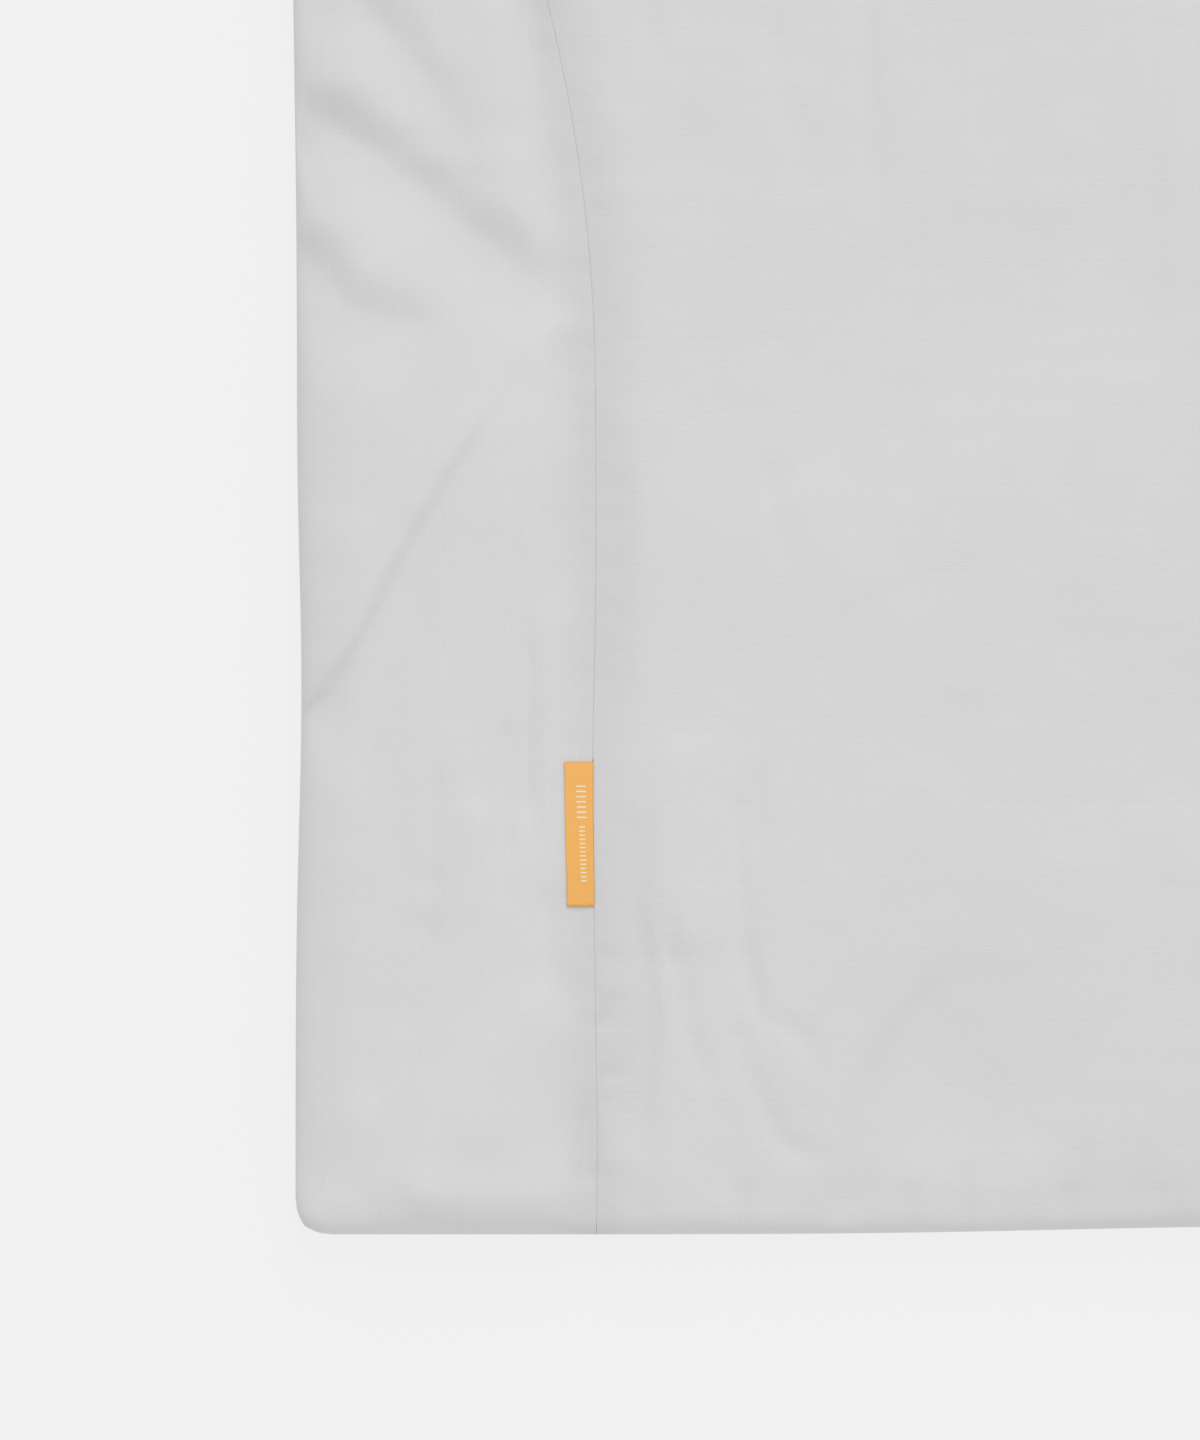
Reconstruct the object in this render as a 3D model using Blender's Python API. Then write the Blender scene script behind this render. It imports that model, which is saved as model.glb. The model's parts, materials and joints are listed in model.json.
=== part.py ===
"""Camp quilt, lying flat.

A bagged-out quilt: a face cloth in three panels and a one-piece lining are sewn together round the
edge and turned, with a batt of insulation behind each face panel. A seam on each side runs up from the
foot edge and curves out to the side edge, and cuts off a foot gusset panel. A folded ribbon label is
caught in the left seam and flaps about it.

Units are metres and +Z is up. The foot edge is at -Y, and the origin is on the ground under the centre.
"""

import math

import bmesh
import bpy

# Overall size
WIDTH = 1.400
LENGTH = 2.000
CORNER_RADIUS = 0.009

# Section: the lining lies on the ground, and the face rolls over the edge and rises to a crown
LOFT = 0.026  # ground to the top of the crown
SHOULDER_HEIGHT = 0.0185  # ground to the top of the rolled edge
EDGE_ROLL = 0.0125  # how far the rolled edge reaches in
LINING_ROLL = 0.009  # how far the lining's turn up to the edge seam reaches in
CROWN_REACH = 0.200  # how far in from the edge the loft is full
EDGE_SEAM_HEIGHT = 0.009  # ground to the seam between face and lining

# Side seams, which bound the gusset panels
GUSSET_WIDTH = 0.102  # the gusset panel's width at the foot
SEAM_STRAIGHT = 0.287  # the seam's straight run up from the foot edge
SEAM_RADIUS = 0.544  # the arc that then carries it out to the side edge

# Cloth, thread and ribbon
CLOTH = 0.0008  # thickness of the face and of the lining, with the batt's scrim
ALLOWANCE = 0.008  # seam allowance turned inside
THREAD_RADIUS = 0.0002
RIBBON = 0.0003  # one layer of the label's ribbon

# Flag label
LABEL_WIDTH = 0.011  # how far the folded label stands out from the seam
LABEL_LENGTH = 0.050  # along the seam
LABEL_FROM_FOOT = 0.136  # foot edge to the middle of the label

# Clearances
GAP = 0.0003  # between pieces that touch
SET_BACK = 0.0001  # seam allowance behind the fold of its own panel
OVERRUN = 0.050  # how far a cutter runs past what it cuts

# What follows from those
LABEL_THICKNESS = 2 * RIBBON
EDGE_SPLIT = 2 * (THREAD_RADIUS + GAP)  # face to lining, either side of the edge thread
FACE_BASE = EDGE_SEAM_HEIGHT + EDGE_SPLIT / 2
LINING_TOP = EDGE_SEAM_HEIGHT - EDGE_SPLIT / 2
SEAM_HALF_SPLIT = max(LABEL_THICKNESS / 2, THREAD_RADIUS) + GAP  # seam line to each panel
THREAD_DEPTH = THREAD_RADIUS + GAP  # surface to the middle of the side seam's thread
BATT_HALF_SPLIT = SEAM_HALF_SPLIT + SET_BACK + CLOTH + GAP  # seam line to each batt
BATT_INSET = max(ALLOWANCE + GAP, LINING_ROLL)

CORNER_STEPS = 5
ROLL_STEPS = 6
CROWN_STEPS = 5
ARC_STEPS = 18
THREAD_STEPS = 44
THREAD_END_INSET = 0.003  # the side seam's thread starts and ends this far inside the edge
LABEL_END_STEPS = 6
SMOOTH_ANGLE = math.radians(40)

LEFT = -1
RIGHT = 1
SIDE_NAMES = {LEFT: "left", RIGHT: "right"}

FACE_COLOUR = (0.655, 0.655, 0.655, 1)
LINING_COLOUR = (0.56, 0.565, 0.57, 1)
BATT_COLOUR = (0.86, 0.86, 0.85, 1)
THREAD_COLOUR = (0.60, 0.60, 0.60, 1)
RIBBON_COLOUR = (0.87, 0.46, 0.13, 1)


def clear_scene():
    """Start from an empty scene."""
    for obj in list(bpy.data.objects):
        bpy.data.objects.remove(obj)


def material(name, colour, roughness):
    """A plain cloth-like material."""
    made = bpy.data.materials.new(name)
    made.use_nodes = True
    shader = made.node_tree.nodes["Principled BSDF"]
    shader.inputs["Base Color"].default_value = colour
    shader.inputs["Roughness"].default_value = roughness
    shader.inputs["Metallic"].default_value = 0
    made.diffuse_color = colour
    return made


def mesh_object(name, bm, finish=None):
    """Turn a bmesh into an object, shaded smooth except at its sharp edges."""
    bmesh.ops.recalc_face_normals(bm, faces=bm.faces)
    mesh = bpy.data.meshes.new(name)
    bm.to_mesh(mesh)
    bm.free()
    mesh.shade_smooth()
    mesh.set_sharp_from_angle(angle=SMOOTH_ANGLE)
    obj = bpy.data.objects.new(name, mesh)
    bpy.context.scene.collection.objects.link(obj)
    if finish:
        mesh.materials.append(finish)
    return obj


def guide(obj):
    """Mark an object that only shapes others."""
    obj.hide_render = True
    obj.display_type = "WIRE"
    return obj


def boolean(obj, other, operation):
    """Cut, keep or join with another closed solid."""
    modifier = obj.modifiers.new(operation.lower(), "BOOLEAN")
    modifier.operation = operation
    modifier.solver = "EXACT"
    modifier.object = other


def outline(inset):
    """The quilt's plan outline, moved in from the edge: a rectangle with rounded corners."""
    half_x = WIDTH / 2 - inset - CORNER_RADIUS
    half_y = LENGTH / 2 - inset - CORNER_RADIUS
    points = []
    for quarter, (sign_x, sign_y) in enumerate(((1, 1), (-1, 1), (-1, -1), (1, -1))):
        for step in range(CORNER_STEPS + 1):
            angle = math.pi / 2 * (quarter + step / CORNER_STEPS)
            x = sign_x * half_x + CORNER_RADIUS * math.cos(angle)
            y = sign_y * half_y + CORNER_RADIUS * math.sin(angle)
            points.append((x, y))
    return points


def face_profile(depth, base):
    """The face's section at a depth under its outer surface, as (inset, height) from the edge inwards."""
    reach = EDGE_ROLL - depth
    rise = SHOULDER_HEIGHT - depth - base
    points = []
    for step in range(ROLL_STEPS + 1):
        angle = math.pi / 2 * step / ROLL_STEPS
        points.append((EDGE_ROLL - reach * math.cos(angle), base + rise * math.sin(angle)))
    for step in range(1, CROWN_STEPS + 1):
        share = step / CROWN_STEPS
        inset = EDGE_ROLL + (CROWN_REACH - EDGE_ROLL) * share
        height = SHOULDER_HEIGHT + (LOFT - SHOULDER_HEIGHT) * (1 - (1 - share) ** 2)
        points.append((inset, height - depth))
    return points


def lining_profile(depth, top):
    """The lining's section at a depth above the ground side, as (inset, height) from the edge inwards."""
    reach = LINING_ROLL - depth
    points = []
    for step in range(ROLL_STEPS + 1):
        angle = math.pi / 2 * step / ROLL_STEPS
        inset = LINING_ROLL - reach * math.cos(angle)
        points.append((inset, top - (top - depth) * math.sin(angle)))
    points.append((CROWN_REACH, depth))
    return points


def face_height(x, y):
    """Height of the face's outer surface above a point of the plan."""
    inset = min(WIDTH / 2 - abs(x), LENGTH / 2 - abs(y))
    profile = face_profile(0, FACE_BASE)
    for (inset_a, height_a), (inset_b, height_b) in zip(profile, profile[1:]):
        if inset <= inset_b:
            share = (inset - inset_a) / (inset_b - inset_a)
            return height_a + (height_b - height_a) * share
    return LOFT


def swept_solid(name, section, finish=None):
    """A closed solid whose section, (inset, height) from the middle out and back, follows the outline."""
    bm = bmesh.new()
    rings = [[bm.verts.new((x, y, height)) for x, y in outline(inset)] for inset, height in section]
    for ring, following in zip(rings, rings[1:]):
        for index in range(len(ring)):
            after = (index + 1) % len(ring)
            bm.faces.new((ring[index], following[index], following[after], ring[after]))
    bm.faces.new(rings[0])
    bm.faces.new(rings[-1])
    return mesh_object(name, bm, finish)


def prism(name, points):
    """A closed upright solid on a plan outline, taller than the quilt."""
    bm = bmesh.new()
    base = bm.faces.new([bm.verts.new((x, y, -OVERRUN)) for x, y in points])
    raised = bmesh.ops.extrude_face_region(bm, geom=[base])
    top = [item for item in raised["geom"] if isinstance(item, bmesh.types.BMVert)]
    bmesh.ops.translate(bm, verts=top, vec=(0, 0, LOFT + 2 * OVERRUN))
    return guide(mesh_object(name, bm))


def seam_point(side, offset, distance):
    """A plan point on a side seam's line, moved by offset towards the middle, at a distance up the seam."""
    seam_x = WIDTH / 2 - GUSSET_WIDTH
    turn_y = SEAM_STRAIGHT - LENGTH / 2
    if distance <= SEAM_STRAIGHT:
        return side * (seam_x - offset), distance - LENGTH / 2
    angle = (distance - SEAM_STRAIGHT) / SEAM_RADIUS
    radius = SEAM_RADIUS + offset
    x = seam_x + SEAM_RADIUS - radius * math.cos(angle)
    return side * x, turn_y + radius * math.sin(angle)


def seam_end(overrun):
    """Distance up the seam at which it is overrun past the side edge, or inside it if negative."""
    return SEAM_STRAIGHT + SEAM_RADIUS * math.acos(1 - (GUSSET_WIDTH + overrun) / SEAM_RADIUS)


def seam_line(side, offset):
    """Plan points of a side seam's line, run past the quilt at both ends."""
    end = seam_end(OVERRUN)
    points = [seam_point(side, offset, -OVERRUN)]
    for step in range(ARC_STEPS + 1):
        distance = SEAM_STRAIGHT + (end - SEAM_STRAIGHT) * step / ARC_STEPS
        points.append(seam_point(side, offset, distance))
    return points


def gusset_region(side, offset):
    """A solid over everything outside a side seam's line."""
    line = seam_line(side, offset)
    outside = side * (WIDTH / 2 + 2 * OVERRUN)
    name = f"region_{SIDE_NAMES[side]}_{round(offset * 1e6)}"
    return prism(name, line + [(outside, line[-1][1]), (outside, line[0][1])])


def allowance(side, toward):
    """One panel's seam allowance, turned down inside along a side seam. toward is +1 for the centre panel."""
    near = toward * (SEAM_HALF_SPLIT + SET_BACK)
    far = toward * (SEAM_HALF_SPLIT + SET_BACK + CLOTH)
    name = f"allowance_{SIDE_NAMES[side]}_{'centre' if toward > 0 else 'gusset'}"
    wall = prism(name, seam_line(side, near) + seam_line(side, far)[::-1])
    top = face_profile(CLOTH / 2, FACE_BASE + CLOTH / 2)
    floor = FACE_BASE + CLOTH / 2
    bottom = [(inset, max(height - ALLOWANCE, floor)) for inset, height in top[1:]]
    band = guide(swept_solid(name + "_band", top[::-1] + bottom))
    boolean(wall, band, "INTERSECT")
    return wall


def face_shell(name, finish):
    """The whole face as one shell, from the crown round the rolled edge to its turned-in allowance."""
    outer = face_profile(0, FACE_BASE)
    inner = face_profile(CLOTH, FACE_BASE + CLOTH)
    turned_in = [(ALLOWANCE, FACE_BASE), (ALLOWANCE, FACE_BASE + CLOTH)]
    return swept_solid(name, outer[::-1] + turned_in + inner, finish)


def face_panels(finish):
    """The three face panels, split at the side seams, each with its allowances."""
    centre = face_shell("face_center_panel", finish)
    for side in (LEFT, RIGHT):
        boolean(centre, gusset_region(side, SEAM_HALF_SPLIT), "DIFFERENCE")
        boolean(centre, allowance(side, 1), "UNION")
        gusset = face_shell(f"face_gusset_{SIDE_NAMES[side]}", finish)
        boolean(gusset, gusset_region(side, -SEAM_HALF_SPLIT), "INTERSECT")
        boolean(gusset, allowance(side, -1), "UNION")


def lining(finish):
    """The lining, one piece, with its allowance turned in at the edge seam."""
    outer = lining_profile(0, LINING_TOP)
    inner = lining_profile(CLOTH, LINING_TOP - CLOTH)
    turned_in = [(ALLOWANCE, LINING_TOP - CLOTH), (ALLOWANCE, LINING_TOP)]
    swept_solid("lining_panel", inner[::-1] + turned_in + outer, finish)


def batt_block(name, finish):
    """The whole space for insulation inside the shell."""
    under_face = CLOTH + GAP
    over_lining = CLOTH + GAP
    profile = face_profile(under_face, FACE_BASE + under_face)
    inside = [point for point in profile if point[0] > BATT_INSET]
    shoulder = inside[0][1]
    section = inside[::-1] + [(BATT_INSET, shoulder - GAP), (BATT_INSET, over_lining), (CROWN_REACH, over_lining)]
    return swept_solid(name, section, finish)


def insulation(finish):
    """A batt behind each face panel, cut to end at the seam allowances."""
    centre = batt_block("insulation_center", finish)
    for side in (LEFT, RIGHT):
        boolean(centre, gusset_region(side, BATT_HALF_SPLIT), "DIFFERENCE")
        gusset = batt_block(f"insulation_{SIDE_NAMES[side]}", finish)
        boolean(gusset, gusset_region(side, -BATT_HALF_SPLIT), "INTERSECT")


def thread(name, points, closed, finish):
    """A sewing thread as a round strand through points."""
    curve = bpy.data.curves.new(name, "CURVE")
    curve.dimensions = "3D"
    curve.bevel_depth = THREAD_RADIUS
    curve.bevel_resolution = 1
    curve.use_fill_caps = not closed
    spline = curve.splines.new("POLY")
    spline.points.add(len(points) - 1)
    spline.use_cyclic_u = closed
    for target, point in zip(spline.points, points):
        target.co = (*point, 1)
    curve.materials.append(finish)
    obj = bpy.data.objects.new(name, curve)
    bpy.context.scene.collection.objects.link(obj)


def side_seam_threads(finish):
    """The thread of each side seam, lying in the valley between the panels."""
    start = THREAD_END_INSET
    end = seam_end(-THREAD_END_INSET)
    for side in (LEFT, RIGHT):
        points = []
        for step in range(THREAD_STEPS + 1):
            x, y = seam_point(side, 0, start + (end - start) * step / THREAD_STEPS)
            points.append((x, y, face_height(x, y) - THREAD_DEPTH))
        thread(f"side_seam_thread_{SIDE_NAMES[side]}", points, False, finish)


def edge_seam_thread(finish):
    """The thread that joins face and lining all round, hidden in the turned edge."""
    points = [(x, y, EDGE_SEAM_HEIGHT) for x, y in outline(EDGE_SPLIT)]
    thread("edge_seam_thread", points, True, finish)


def flag_label(finish):
    """The label: a flap that turns about the left seam, and the tail of the same ribbon sewn inside."""
    seam_x, seam_y = seam_point(LEFT, 0, LABEL_FROM_FOOT)
    ends = [LABEL_FROM_FOOT + share * LABEL_LENGTH for share in (-0.5, 0, 0.5)]
    surface = [face_height(*seam_point(LEFT, 0, distance)) for distance in ends]
    radius = LABEL_THICKNESS / 2

    bm = bmesh.new()
    points = []
    for centre_x, start in ((0, -math.pi / 2), (radius - LABEL_WIDTH, math.pi / 2)):
        for step in range(LABEL_END_STEPS + 1):
            angle = start + math.pi * step / LABEL_END_STEPS
            points.append((centre_x + radius * math.cos(angle), radius * math.sin(angle)))
    end = bm.faces.new([bm.verts.new((x, -LABEL_LENGTH / 2, z)) for x, z in points])
    extruded = bmesh.ops.extrude_face_region(bm, geom=[end])
    far = [item for item in extruded["geom"] if isinstance(item, bmesh.types.BMVert)]
    bmesh.ops.translate(bm, verts=far, vec=(0, LABEL_LENGTH, 0))
    flap = mesh_object("flag_label", bm, finish)
    flap.location = (seam_x, seam_y, max(surface) + GAP + radius)

    bm = bmesh.new()
    bmesh.ops.create_cube(bm, size=1)
    top = min(surface) - THREAD_DEPTH - THREAD_RADIUS - GAP
    bottom = min(surface) - ALLOWANCE
    bmesh.ops.scale(bm, verts=bm.verts, vec=(LABEL_THICKNESS, LABEL_LENGTH, top - bottom))
    tail = mesh_object("flag_label_tail", bm, finish)
    tail.location = (seam_x, seam_y, (top + bottom) / 2)


def build():
    """Make every piece of the quilt."""
    clear_scene()
    face_cloth = material("face_cloth", FACE_COLOUR, 0.75)
    lining_cloth = material("lining_cloth", LINING_COLOUR, 0.7)
    batting = material("batting", BATT_COLOUR, 0.95)
    sewing_thread = material("sewing_thread", THREAD_COLOUR, 0.6)
    ribbon = material("label_ribbon", RIBBON_COLOUR, 0.55)
    face_panels(face_cloth)
    lining(lining_cloth)
    insulation(batting)
    side_seam_threads(sewing_thread)
    edge_seam_thread(sewing_thread)
    flag_label(ribbon)


build()
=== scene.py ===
"""Camp quilt, lying flat on a pale floor, seen from straight above at one corner.

The face, its stitches, the label and the batts follow one height field: the CAD's rolled edge and
crown, a cloth simulation's undulations, and folds. Plan points are in metres in the frame of the
CAD, unless a list says otherwise.
"""

import json
import math

import bpy
import numpy as np
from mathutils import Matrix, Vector


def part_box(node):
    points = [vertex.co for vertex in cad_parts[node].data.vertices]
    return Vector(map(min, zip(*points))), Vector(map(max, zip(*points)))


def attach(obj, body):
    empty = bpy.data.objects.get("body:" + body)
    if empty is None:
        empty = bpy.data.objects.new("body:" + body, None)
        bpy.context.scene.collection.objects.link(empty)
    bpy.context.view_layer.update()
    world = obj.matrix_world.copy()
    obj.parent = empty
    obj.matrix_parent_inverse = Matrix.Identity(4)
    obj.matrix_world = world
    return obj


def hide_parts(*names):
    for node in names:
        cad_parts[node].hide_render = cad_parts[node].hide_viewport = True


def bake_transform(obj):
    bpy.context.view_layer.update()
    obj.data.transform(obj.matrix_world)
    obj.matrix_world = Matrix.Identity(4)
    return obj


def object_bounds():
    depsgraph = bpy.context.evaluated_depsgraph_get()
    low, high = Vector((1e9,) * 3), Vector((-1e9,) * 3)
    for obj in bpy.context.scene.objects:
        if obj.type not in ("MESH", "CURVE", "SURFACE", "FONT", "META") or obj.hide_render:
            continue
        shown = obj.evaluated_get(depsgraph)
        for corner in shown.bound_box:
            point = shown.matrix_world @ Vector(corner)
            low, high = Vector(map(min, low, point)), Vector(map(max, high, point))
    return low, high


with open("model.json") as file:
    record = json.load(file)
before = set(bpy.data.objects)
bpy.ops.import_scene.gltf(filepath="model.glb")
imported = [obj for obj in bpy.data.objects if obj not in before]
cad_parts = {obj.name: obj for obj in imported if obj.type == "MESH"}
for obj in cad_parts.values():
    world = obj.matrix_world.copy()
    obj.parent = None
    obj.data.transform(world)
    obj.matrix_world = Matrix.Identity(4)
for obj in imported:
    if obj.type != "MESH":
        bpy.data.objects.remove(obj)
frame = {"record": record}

CAD_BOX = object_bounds()
MM = 0.001

# Sizes that the CAD gives
HALF_WIDTH = CAD_BOX[1].x
HALF_LENGTH = CAD_BOX[1].y
LOFT = CAD_BOX[1].z
HINGE = Vector(frame["record"]["behaviour"]["joints"][0]["pos_m"])
LABEL_LOW, LABEL_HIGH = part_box("flag_label")
SEAM_X = -HINGE.x  # both side seams run straight up at this distance from the middle

# Sizes that are the same as in part.py
SEAM_STRAIGHT = 0.287
SEAM_RADIUS = 0.544
SHOULDER = 0.0185
EDGE_ROLL = 0.0125
LINING_ROLL = 0.009
CROWN_REACH = 0.200
EDGE_SEAM_HEIGHT = 0.009
ALLOWANCE = 0.008

# The turned edge
CURL_HEIGHT = 0.0102  # where the face's roll is upright
FACE_BASE = EDGE_SEAM_HEIGHT + 0.25 * MM
LINING_TOP = EDGE_SEAM_HEIGHT - 0.25 * MM
LINING_CURL_HEIGHT = 0.0078
LINING_WRINKLE = 0.5 * MM  # the lining's wrinkles and its cloth stay under the batts
BATT_FLOOR = 0.9 * MM
BATT_LEAST_TOP = 4 * MM
BATT_RIM_CLOSING = 0.8  # how far a batt's top and bottom draw together at its rim
BATT_CLEARANCE = 2.2 * MM  # below the face, so that no fold of it reaches a batt
SEAM_NOTCH = 0.7 * MM  # how far the edge seam lies inside the rolls
TURNED_INSETS = [ALLOWANCE, SEAM_NOTCH + 0.6 * MM, SEAM_NOTCH]  # an allowance's points, from its raw edge
TURNED = len(TURNED_INSETS)
CORNER_REACH = 0.012  # how far from the corner its rounding starts
CLOTH = 0.2 * MM

# The side seams
SEAM_GAP = 0.015 * MM  # seam line to each panel's fold
LABEL_GAP = 0.20 * MM  # added to it where the label is caught
THREAD_RADIUS = 0.11 * MM
STITCH = 2.5 * MM
VALLEY_DEPTH, VALLEY_REACH = 0.16 * MM, 1.2 * MM  # the sharp valley along the seam
SINK_DEPTH, SINK_REACH = 2.6 * MM, 11 * MM  # the broad one that the batts leave
CAUGHT_FROM, CAUGHT_TO = 24.0 * MM, 26.2 * MM  # the label's gap closes between these, from its middle

TURN_Y = SEAM_STRAIGHT - HALF_LENGTH
GUSSET_WIDTH = HALF_WIDTH - SEAM_X
SEAM_END_ANGLE = math.acos(1 - GUSSET_WIDTH / SEAM_RADIUS)
SEAM_END_Y = TURN_Y + SEAM_RADIUS * math.sin(SEAM_END_ANGLE)
SEAM_LENGTH = SEAM_STRAIGHT + SEAM_RADIUS * SEAM_END_ANGLE

LEFT = -1
RIGHT = 1
SIDE_NAMES = {LEFT: "left", RIGHT: "right"}

# Folds that the photograph shows, as plan points in millimetres from the foot's left corner. After the
# points come the depth at the start and at the end, and how far the fold reaches to the left and to the
# right of its path, in millimetres. A negative depth is a ridge.
LEFT_CORNER_FOLDS = (
    # fanning from the seam to the left edge
    (((-6, 386), (6, 381), (17, 374), (37, 359), (48, 350), (59, 340), (72, 330), (85, 318), (97, 304)),
     9.5, 2.4, 10, 20),
    (((-6, 337), (6, 329), (16, 316), (32, 309), (54, 304)), 6.5, 1.5, 9, 19),
    (((1, 376), (6, 360), (12, 346)), 1.2, 0.7, 2.6, 2.6),
    (((4, 440), (18, 422), (30, 409), (41, 396), (52, 374), (58, 356), (62, 342)), 5.6, 1.6, 9, 21),
    (((74, 440), (78, 415), (81, 391), (85, 362), (89, 334), (91, 305)), 3.8, 2, 7, 7),
    (((90, 312), (91, 280), (91, 240), (89, 205)), 3.2, 1.8, 7, 6),
    # the long sharp crease
    (((-9, 162), (1, 175), (11, 186), (21, 200), (31, 218), (41, 236), (51, 253), (62, 270), (74, 287)),
     3.0, 2.8, 2.6, 25),
    (((0, 196), (10, 212), (14, 232)), 1, 0.3, 10, 10),
    (((42, 112), (45, 160), (52, 214), (66, 256), (80, 292)), -0.8, -5, 12, 20),
    # upright streaks beside the label
    (((80, 206), (80, 172), (80, 136)), 1.3, 2.0, 2.8, 2.8),
    (((72, 178), (72, 150), (70, 122)), 1.4, 0.9, 4.5, 4.5),
    (((49, 160), (47, 138), (46, 112)), 1.4, 0.9, 3, 3),
    (((60, 150), (61, 128), (58, 106)), -1.4, -1, 5, 5),
    (((86, 120), (88, 98), (94, 72)), 1.3, 1.2, 5, 5),
    # low in the gusset
    (((36, 2), (46, 22), (60, 44), (74, 66), (92, 90)), -3.4, -2, 11, 18),
    (((47, 116), (42, 88), (31, 60), (22, 38)), 2.0, 1.6, 5, 10),
    (((34, 13.5), (58, 13), (82, 13.5), (101, 14)), -2, -1.7, 9, 7),
    (((97, 46), (98, 32), (98, 14)), 1.6, 1.6, 5, 4),
    # just right of the seam
    (((111, 268), (110, 240), (109, 206), (108, 168)), 1.3, 0.8, 5, 7),
    (((113, 152), (113, 112), (113, 84), (113, 56), (111, 22)), 1.2, 3.6, 8, 7),
    (((116, 116), (119, 98), (121, 74), (120, 48), (117, 24)), 1.2, 1.0, 2.8, 3.6),
    (((103, 71), (106, 75), (109, 82)), 0.9, 0.5, 2.2, 2.2),
    (((104, 55), (108, 55.5), (113, 56)), 1, 0.5, 2.2, 2.2),
    (((104, 98), (108, 93), (112, 90)), 0.7, 0.3, 2.4, 2.4),
    (((106, 302), (112, 322), (116, 340)), 0.8, 0.5, 3.5, 3.5),
    # the middle panel
    (((125, 92), (126, 130), (128, 176)), -2, -1.7, 7, 22),
    (((152, 156), (152, 112), (154, 94), (158, 76), (160, 64)), 1.3, 1.5, 3, 4.2),
    (((157, 160), (158, 126)), 1.2, 0.8, 2.8, 3),
    (((124, 114), (130, 91), (134, 72), (141, 46)), 1.2, 1.1, 3.4, 3.4),
    (((149, 78), (153, 60), (160, 42), (167, 31), (183, 26)), 1, 1.1, 3.6, 3.6),
    (((161, 75), (173, 67), (178, 51)), 0.9, 0.7, 3.6, 3.6),
    (((180, -8), (184, 6), (187, 17), (190, 33), (195, 50), (201, 62), (213, 79), (228, 93)),
     3.0, 1.4, 5, 11),
    (((167, 258), (183, 237), (198, 213)), -1.2, -0.8, 12, 20),
    (((160, 264), (164, 242), (168, 224)), 0.7, 0.5, 3.4, 3.4),
    (((205, 294), (208, 272), (209, 246)), 0.5, 0.5, 6, 6),
    (((226, 186), (222, 172), (212, 158)), 0.8, 0.5, 7, 7),
    (((120, 430), (120, 398)), 1.5, 0.8, 4, 4),
    (((139, 376), (131, 362)), 0.7, 0.5, 4, 4),
    (((192, 434), (194, 398), (198, 342)), 1.9, 0.5, 4.5, 6),
    (((162, 412), (165, 376)), 0.7, 0.5, 4, 4),
    (((167, 384), (178, 348)), 0.7, 0.7, 8, 8),
    (((240, 430), (236, 396)), 1, 0.5, 7, 7),
    (((196, 14), (225, 15), (262, 16)), -0.8, -0.8, 11, 9),
)

# Short dents across the foot edge: distance from the foot's left corner, length and depth
FOOT_DENTS = (
    (26, 14, 0.9), (119, 14, 1.5), (151, 21, 2.0), (172, 12, 1.2),
    (207, 20, 1.6), (226, 26, 1.4), (262, 18, 1.7),
)

# Broad rises and hollows: centre, the two radii and height in millimetres
LEFT_CORNER_SWELLS = (
    ((9, 22), (18, 26), -3.8),
    ((-4, 110), (24, 90), -2.8),
    ((0, 250), (16, 60), -1.4),
    ((0, 392), (18, 34), -3),
    ((72, 26), (30, 16), 0.9),
    ((45, 150), (26, 40), 1.2),
    ((60, 250), (22, 30), 1.0),
    ((226, 46), (30, 34), -3.4),
    ((240, 2), (60, 14), -1.8),
    ((235, 322), (60, 38), -2.4),
    ((140, 235), (26, 30), 0.8),
    ((170, 54), (9, 12), 0.5),
)

SEED_FOLDS = 11
SEED_WAVES = 5
SEED_LOFT = 3


# ---------------------------------------------------------------- plan


def smoothstep(low, high, value):
    """0 up to low, 1 from high, smooth between them."""
    share = np.clip((value - low) / (high - low), 0, 1)
    return share * share * (3 - 2 * share)


def bell(value, width):
    """1 at zero, falling to both sides."""
    return np.exp(-((value / width) ** 2))


def random_waves(seed, count, shortest, longest):
    """Random plane waves, as (x count, y count, phase), whose sum is a soft random field."""
    random = np.random.RandomState(seed)
    length = shortest * (longest / shortest) ** random.rand(count)
    direction = random.rand(count) * 2 * math.pi
    turn = 2 * math.pi / length
    return np.stack([turn * np.cos(direction), turn * np.sin(direction), random.rand(count) * 2 * math.pi], 1)


def wave_field(waves, x, y):
    """The sum of random waves, with a spread of about 1."""
    total = np.zeros(np.shape(x))
    for turn_x, turn_y, phase in waves:
        total += np.sin(turn_x * x + turn_y * y + phase)
    return total * math.sqrt(2 / len(waves))


def insets(x, y):
    """Distances inwards from the side edge and from the foot or head edge."""
    return HALF_WIDTH - np.abs(x), HALF_LENGTH - np.abs(y)


def seam_wander(side, y):
    """How far a side seam strays outwards from its line, as the sewn one does.

    The left seam is drawn outwards beside the label, and inwards near the foot.
    """
    up = y + HALF_LENGTH
    if side == LEFT:
        at_label, near_foot, above = bell(up - 0.152, 0.045), bell(up - 0.030, 0.045), bell(up - 0.240, 0.040)
        return 0.9 * MM * (at_label - 0.8 * near_foot - 0.35 * above)
    return 0.8 * MM * np.sin(up * 27 + 0.6) * smoothstep(0.0, 0.05, up)


def seam_line_x(y):
    """Distance of the side seams from the middle, at a height up the quilt."""
    share = np.clip((y - TURN_Y) / SEAM_RADIUS, 0, math.sin(SEAM_END_ANGLE))
    return SEAM_X + SEAM_RADIUS * (1 - np.sqrt(1 - share * share))


def seam_at(side, y):
    """x of a side seam as sewn."""
    fade = 1 - smoothstep(SEAM_END_Y - 0.10, SEAM_END_Y, y)
    return side * (seam_line_x(y) + seam_wander(side, y) * fade)


EDGE_WAVES = random_waves(17, 9, 0.11, 0.50)


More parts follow.
